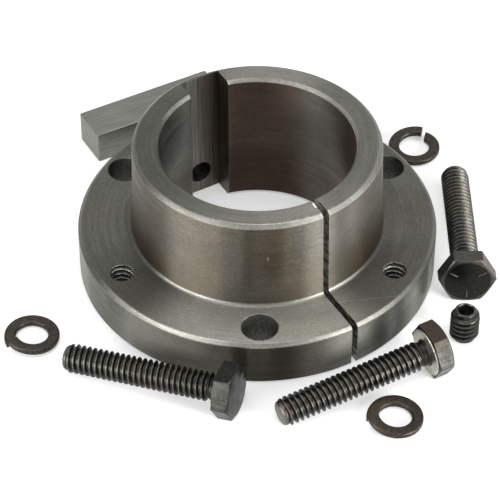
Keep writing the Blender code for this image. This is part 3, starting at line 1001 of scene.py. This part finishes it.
def bushing_outline(sizes):
    """Half section of flange, hub and bore."""
    edge = sizes.edge
    fillet = 0.0008
    slope = (sizes.taper_radius - sizes.hub_end_radius) / (sizes.length - sizes.flange_thickness)
    foot = (sizes.taper_radius - slope * fillet + fillet, sizes.flange_thickness + fillet)
    shoulder = sizes.hub_end_radius + slope * edge
    soft = edge * 0.35
    return [
        (sizes.bore_radius + edge, 0.0),
        (sizes.flange_radius - edge * 0.6, 0.0),
        (sizes.flange_radius, edge * 0.6),
        (sizes.flange_radius, sizes.flange_thickness - edge - soft),
        (sizes.flange_radius - soft * 0.35, sizes.flange_thickness - edge + soft * 0.1),
        (sizes.flange_radius - edge + soft * 0.1, sizes.flange_thickness - soft * 0.35),
        (sizes.flange_radius - edge - soft, sizes.flange_thickness),
        *rounded(foot, fillet, -math.pi / 2, -math.pi, 5),
        (shoulder + slope * soft, sizes.length - edge - soft),
        (shoulder - soft * 0.35, sizes.length - edge + soft * 0.1),
        (sizes.hub_end_radius - edge + soft * 0.1, sizes.length - soft * 0.35),
        (sizes.hub_end_radius - edge - soft, sizes.length),
        (sizes.bore_radius + edge, sizes.length),
        (sizes.bore_radius, sizes.length - edge),
        (sizes.bore_radius, edge),
    ]


def clearance_hole(sizes):
    """Cutter for a clearance hole with eased mouths, on +Z."""
    top = sizes.flange_thickness
    flare = 0.00012
    mouth = CLEARANCE_RADIUS + 2 * flare
    return spin_profile([(0.0, -flare), (mouth, -flare), (CLEARANCE_RADIUS, flare),
                         (CLEARANCE_RADIUS, top - flare), (mouth, top + flare), (0.0, top + flare)],
                        HOLE_STEPS)


def tapped_hole(sizes):
    """Cutter for a tapped hole on +Z, narrower at its mouths, where the thread starts."""
    top = sizes.flange_thickness
    over = 0.0005
    mouth = TAPPED_CREST + 0.00004
    return spin_profile([(0.0, -over), (mouth, -over), (mouth, 0.00025), (TAPPED_ROOT, 0.00050),
                         (TAPPED_ROOT, top - 0.00050), (mouth, top - 0.00025), (mouth, top + over),
                         (0.0, top + over)], HOLE_STEPS)


class BUSHING_OT_bushing(bpy.types.Operator):
    """Build the bushing with its keyway, split and holes"""

    bl_idname = "bushing.bushing"
    bl_label = "Bushing"

    def execute(self, context):
        sizes = context.scene.bushing_sizes
        item = to_object("turned_bushing", spin_profile(bushing_outline(sizes), ROUND_STEPS))
        toward_key = Matrix.Rotation(sizes.keyway_bearing, 4, "Z")
        from_key = Matrix.Rotation(sizes.keyway_bearing + math.pi, 4, "Z")
        hardware = context.scene.hardware_sizes
        half_key = hardware.key_size[1] / 2
        over = 0.002
        keyway = box_shape((sizes.bore_radius / 2, -half_key, -over),
                           (sizes.hub_end_radius - sizes.keyway_web, half_key, sizes.length + over),
                           toward_key)
        split = box_shape((sizes.bore_radius / 2, sizes.split_offset - sizes.split_width / 2, -over),
                          (sizes.flange_radius + over, sizes.split_offset + sizes.split_width / 2,
                           sizes.length + over), from_key)
        lying = (toward_key @ Matrix.Translation((sizes.flange_radius * 0.78, 0, sizes.flange_thickness / 2))
                 @ Matrix.Rotation(math.pi / 2, 4, "Y"))
        side_hole = prism_shape(SIDE_HOLE_RADIUS, sizes.flange_radius * 0.48, HOLE_STEPS, lying)
        cuts = [(keyway, "DIFFERENCE"), (split, "DIFFERENCE"), (side_hole, "DIFFERENCE")]
        tapped_bearings = []
        for number in range(3):
            bearing = sizes.bolt_bearing + math.tau * number / 3
            tapped_bearings.append(bearing + math.pi / 3)
            for hole, where in ((clearance_hole(sizes), bearing),
                                (tapped_hole(sizes), bearing + math.pi / 3)):
                bmesh.ops.transform(hole, verts=hole.verts, matrix=Matrix.Rotation(where, 4, "Z")
                                    @ Matrix.Translation((sizes.bolt_radius, 0, 0)))
                cuts.append((hole, "DIFFERENCE"))
        carve(item, cuts)
        top = sizes.flange_thickness
        thread = thread_ridge(TAPPED_CREST, TAPPED_ROOT, 0.00002, top - 0.00002,
                              lambda height: TAPPED_ROOT + 0.0002 - 1.6 * min(height, top - height))
        for bearing in tapped_bearings:
            tapped = thread.copy()
            bmesh.ops.translate(tapped, verts=tapped.verts, vec=polar(sizes.bolt_radius, bearing))
            add_shape(item, tapped)
        thread.free()
        item.data.materials.clear()
        for material in bushing_materials(context.scene.finish_colours, sizes.keyway_bearing):
            item.data.materials.append(material)
        for face in item.data.polygons:
            face.material_index = FINISHES.index(finish_at(face, sizes))
        finish_piece(item, ["bushing"], Matrix.Translation(AXIS), 25)
        return {"FINISHED"}


class BUSHING_OT_key(bpy.types.Operator):
    """Build the key"""

    bl_idname = "bushing.key"
    bl_label = "Key"

    def execute(self, context):
        length, width, height = context.scene.hardware_sizes.key_size
        shape = box_shape((-length / 2, -width / 2, 0), (length / 2, width / 2, height))
        round_edges(shape, 0.0003, 3)
        item = to_object("drawn_key", shape, key_material(context.scene.finish_colours.key_steel))
        reach = context.scene.bushing_sizes.flange_radius + KEY_FROM_FLANGE + width / 2
        place = Matrix.Translation(AXIS + polar(reach, KEY_BEARING))
        finish_piece(item, ["key"],
                     place @ Matrix.Rotation(KEY_BEARING - math.pi / 2, 4, "Z"))
        return {"FINISHED"}


def screw_blank(sizes):
    """Turned blank of a cap screw without its thread, point down."""
    base = sizes.screw_length
    top = base + sizes.head_height
    core = sizes.thread_radius - THREAD_DEPTH + 0.00002
    tip = sizes.thread_radius - SCREW_POINT
    flat_top = sizes.head_flats / 2 - WASHER_FACE
    blank = head_corner(sizes) + 0.001
    drop = (blank - flat_top) * math.tan(math.radians(28))
    neck = 0.00270
    return [
        (0.0, 0.0),
        (tip - 0.00015, 0.0),
        (tip + 0.00010, 0.00008),
        (tip + 0.00040, 0.00045),
        (tip + 0.00048, 0.00085),
        (core, 0.0014),
        (core, base - 0.0018),
        (neck, base - 0.0014),
        (neck, base - 0.0004),
        (neck + 0.0003, base),
        (flat_top, base),
        (flat_top, base + WASHER_FACE),
        (blank, base + WASHER_FACE),
        (blank, top - drop),
        (flat_top, top),
        (0.0, top),
    ]


class BUSHING_OT_cap_screws(bpy.types.Operator):
    """Build the three cap screws with rolled threads and grade marks"""

    bl_idname = "bushing.cap_screws"
    bl_label = "Cap Screws"

    def execute(self, context):
        sizes = context.scene.hardware_sizes
        end = sizes.screw_length - 0.0010
        tip = sizes.thread_radius - SCREW_POINT
        thread = thread_ridge(sizes.thread_radius, sizes.thread_radius - THREAD_DEPTH, 0.0002, end,
                              lambda height: min(tip - 0.0001 + height * 0.75,
                                                 0.0026 + (end - height) * 0.6))
        for side in SCREW_PLACES:
            place = screw_matrix(side, context.scene.bushing_sizes, sizes)
            material = oxide_material("screw_oxide_" + side, context.scene.finish_colours.screw_oxide,
                                      0.36, screw_wear_and_shading(place, sizes, side == "front",
                                                       1.3 if side == "right" else 0.68))
            item = to_object("threaded_screw_" + side,
                             spin_profile(screw_blank(sizes), THREAD_STEPS * 2), material)
            hexagon = prism_shape(head_corner(sizes), 3 * sizes.screw_length, 6,
                                  Matrix.Translation((0, 0, sizes.screw_length)))
            carve(item, [(hexagon, "INTERSECT")])
            soften_edges(item, 0.00012)
            add_shape(item, thread.copy())
            for number in range(3):
                mark = box_shape((0.0026, -0.00012, 0), (0.0046, 0.00012, 0.00014),
                                 Matrix.Translation((0, 0, sizes.screw_length + sizes.head_height - 0.00008))
                                 @ Matrix.Rotation(math.radians(-120) + math.tau * number / 3, 4, "Z"))
                round_edges(mark, 0.00005, 2)
                add_shape(item, mark)
            finish_piece(item, ["cap_screw_" + side], place, 50)
        thread.free()
        return {"FINISHED"}


class BUSHING_OT_lock_washers(bpy.types.Operator):
    """Build the three split lock washers"""

    bl_idname = "bushing.lock_washers"
    bl_label = "Lock Washers"

    def execute(self, context):
        sizes = context.scene.hardware_sizes
        low = sizes.washer_bore / 2
        high = low + sizes.washer_width
        edge = 0.00045
        steps = 96
        early = 0.01
        for side in WASHER_SPLITS:
            section = [
                *rounded((low + edge, edge), edge, math.pi, 1.5 * math.pi),
                *rounded((high - edge, edge), edge, -math.pi / 2, 0),
                *rounded((high - edge, sizes.washer_thickness - edge), edge, 0, math.pi / 2),
                *rounded((low + edge, sizes.washer_thickness - edge), edge, math.pi / 2, math.pi),
            ]
            shape = bmesh.new()
            verts = [shape.verts.new((radius, 0, height)) for radius, height in section]
            start = shape.faces.new(verts)
            turn = math.tau * 0.9
            bmesh.ops.spin(shape, geom=[start] + start.edges[:] + verts, cent=(0, 0, 0),
                           axis=(0, 0, 1), angle=-turn, steps=steps,
                           dvec=(0, 0, sizes.washer_rise / steps))
            for vert in shape.verts:
                radius = math.hypot(vert.co.x, vert.co.y)
                part = (turn * early - math.atan2(vert.co.y, vert.co.x)) % math.tau / turn - early
                near_end = washer_end(sizes, radius, -1)
                sweep = washer_end(sizes, radius, 1) - near_end - math.tau
                vert.co = polar(radius, near_end + sweep * part, vert.co.z)
            bmesh.ops.remove_doubles(shape, verts=shape.verts, dist=1e-7)
            bmesh.ops.recalc_face_normals(shape, faces=shape.faces)
            material = oxide_material("washer_oxide_" + side, context.scene.finish_colours.washer_oxide, 0.38)
            item = to_object("split_washer_" + side, shape, material)
            place = washer_matrix(side, sizes)
            item.data.transform(place)
            wanted_low, wanted_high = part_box("lock_washer_" + side)
            points = [vert.co for vert in item.data.vertices]
            shift = Vector([(wanted_low[axis] + wanted_high[axis]) / 2
                            - (min(p[axis] for p in points) + max(p[axis] for p in points)) / 2
                            for axis in range(3)])
            finish_piece(item, ["lock_washer_" + side],
                         Matrix.Translation(shift))
        return {"FINISHED"}


class BUSHING_OT_set_screw(bpy.types.Operator):
    """Build the socket set screw"""

    bl_idname = "bushing.set_screw"
    bl_label = "Set Screw"

    def execute(self, context):
        sizes = context.scene.hardware_sizes
        length = sizes.set_screw_length
        radius = sizes.thread_radius
        core = radius - THREAD_DEPTH + 0.00002
        shape = spin_profile([(0.0, 0.0), (core - 0.00020, 0.0), (core, 0.00015),
                              (core, length - 0.00040), (core - 0.00025, length - 0.00008),
                              (core - 0.00035, length), (0.0, length)], THREAD_STEPS)
        low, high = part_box("set_screw")
        place = Matrix.Translation(((low.x + high.x) / 2, (low.y + high.y) / 2, 0))
        material = oxide_material("set_screw_oxide", context.scene.finish_colours.set_screw_oxide,
                                  0.36, thread_wear_and_shading(place, radius, 1.8, 1.0, 2.6), 0.3)
        item = to_object("threaded_set_screw", shape, material)
        across = 0.125 * INCH
        depth = 0.0032
        socket = prism_shape(across / math.sqrt(3), 2 * depth, 6, Matrix.Translation((0, 0, length)))
        mouth = spin_profile([(0.0, length - 0.0004), (across / 2 - 0.00005, length - 0.0004),
                              (across / 2 + 0.0004, length + 0.0002), (0.0, length + 0.0002)], THREAD_STEPS)
        cup = spin_profile([(0.0, 0.0011), (0.0018, -0.0001), (0.0, -0.0001)], THREAD_STEPS)
        carve(item, [(socket, "DIFFERENCE"), (mouth, "DIFFERENCE"), (cup, "DIFFERENCE")])
        add_shape(item, thread_ridge(radius, radius - THREAD_DEPTH, 0.00005, length - 0.00005,
                                     lambda height: min(radius - 0.0010 + height,
                                                        radius - 0.00095 + (length - height) * 0.7)))
        finish_piece(item, ["set_screw"], place, 50)
        return {"FINISHED"}


# Studio

def soft_light(name, bearing, elevation, distance, width, height, radiance, aim=Vector((0, 0, 0.012))):
    """Large area lamp that faces the set. Bearings are from the camera's side, to the right."""
    lamp = bpy.data.lights.new(name, "AREA")
    lamp.shape = "RECTANGLE"
    lamp.size = width
    lamp.size_y = height
    lamp.energy = radiance * math.pi * width * height
    item = link_new(name, lamp)
    a, e = math.radians(bearing), math.radians(elevation)
    back = Vector((math.sin(a) * math.cos(e), -math.cos(a) * math.cos(e), math.sin(e)))
    item.location = aim + back * distance
    item.rotation_mode = "QUATERNION"
    item.rotation_quaternion = (-back).to_track_quat("-Z", "Y")
    return item


class BUSHING_OT_studio(bpy.types.Operator):
    """Build the floor, soft lights, pale world and camera"""

    bl_idname = "bushing.studio"
    bl_label = "Studio"

    def execute(self, context):
        settings = context.scene.studio_settings
        scene = context.scene
        scene.view_settings.view_transform = "Standard"

        floor_shape = bmesh.new()
        bmesh.ops.create_grid(floor_shape, x_segments=1, y_segments=1, size=3.0)
        material = bpy.data.materials.new("pale_floor")
        material.use_nodes = True
        shader = material.node_tree.nodes["Principled BSDF"]
        shader.inputs["Base Color"].default_value = (*settings.floor_colour, 1.0)
        shader.inputs["Roughness"].default_value = 0.9
        shader.inputs["Specular IOR Level"].default_value = 0.0
        tree = Tree(material.node_tree)
        shader.inputs["Emission Color"].default_value = (1, 1, 1, 1)
        tree.link(tree.math("MULTIPLY", tree.seen(), FLOOR_GLOW), shader.inputs["Emission Strength"])
        floor = to_object("floor", floor_shape, material)

        world = bpy.data.worlds.new("pale_studio")
        scene.world = world
        world.use_nodes = True
        tree = Tree(world.node_tree)
        background = world.node_tree.nodes["Background"]
        background.inputs["Color"].default_value = (1, 1, 1, 1)
        strength = tree.ramp(tree.seen(), 0.0, 1.0, settings.ambient, 1.0)
        tree.link(strength, background.inputs["Strength"])

        for name, measures in SOFTBOXES.items():
            soft_light(name + "_softbox", *measures)

        lens = bpy.data.cameras.new("camera")
        lens.sensor_width = 36.0
        lens.lens = lens.sensor_width * FOCAL_PIXELS / PICTURE_PIXELS
        camera = link_new("camera", lens)
        tilt = settings.camera_elevation
        forward = Vector((0, math.cos(tilt), -math.sin(tilt)))
        up = Vector((0, math.sin(tilt), math.cos(tilt)))
        camera.location = AXIS - forward * settings.camera_distance
        forward = (forward + Vector((AIM_ASIDE, 0, 0)) + up * AIM_UP).normalized()
        camera.rotation_mode = "QUATERNION"
        camera.rotation_quaternion = forward.to_track_quat("-Z", "Y")
        lens.clip_start = 0.05
        lens.clip_end = 20
        scene.camera = camera
        return {"FINISHED"}


class BUSHING_PT_panel(bpy.types.Panel):
    """Sidebar panel with the pieces and their sizes"""

    bl_idname = "BUSHING_PT_panel"
    bl_label = "Quick Disconnect Bushing"
    bl_space_type = "VIEW_3D"
    bl_region_type = "UI"
    bl_category = "Bushing"

    def draw(self, context):
        layout = self.layout
        for operator in OPERATORS:
            layout.operator(operator.bl_idname)
        for group in [getattr(context.scene, name) for name in SETTINGS]:
            box = layout.box()
            for label in group.__annotations__:
                box.prop(group, label)


SETTINGS = {
    "bushing_sizes": BushingSizes,
    "hardware_sizes": HardwareSizes,
    "finish_colours": FinishColours,
    "studio_settings": StudioSettings,
}
OPERATORS = (BUSHING_OT_bushing, BUSHING_OT_key, BUSHING_OT_cap_screws, BUSHING_OT_lock_washers,
             BUSHING_OT_set_screw, BUSHING_OT_studio)


def register():
    """Register the classes and their settings."""
    for name, group in SETTINGS.items():
        bpy.utils.register_class(group)
        setattr(bpy.types.Scene, name, PointerProperty(type=group))
    for operator in OPERATORS:
        bpy.utils.register_class(operator)
    bpy.utils.register_class(BUSHING_PT_panel)


def unregister():
    """Take the classes and their settings out again."""
    bpy.utils.unregister_class(BUSHING_PT_panel)
    for operator in reversed(OPERATORS):
        bpy.utils.unregister_class(operator)
    for name, group in SETTINGS.items():
        delattr(bpy.types.Scene, name)
        bpy.utils.unregister_class(group)


def main():
    """Build every piece and the studio."""
    for item in [o for o in bpy.data.objects if o.type in {"CAMERA", "LIGHT"} or o.name == "Cube"]:
        bpy.data.objects.remove(item, do_unlink=True)
    register()
    bpy.ops.bushing.bushing()
    bpy.ops.bushing.key()
    bpy.ops.bushing.cap_screws()
    bpy.ops.bushing.lock_washers()
    bpy.ops.bushing.set_screw()
    bpy.ops.bushing.studio()


if __name__ == "__main__":
    main()
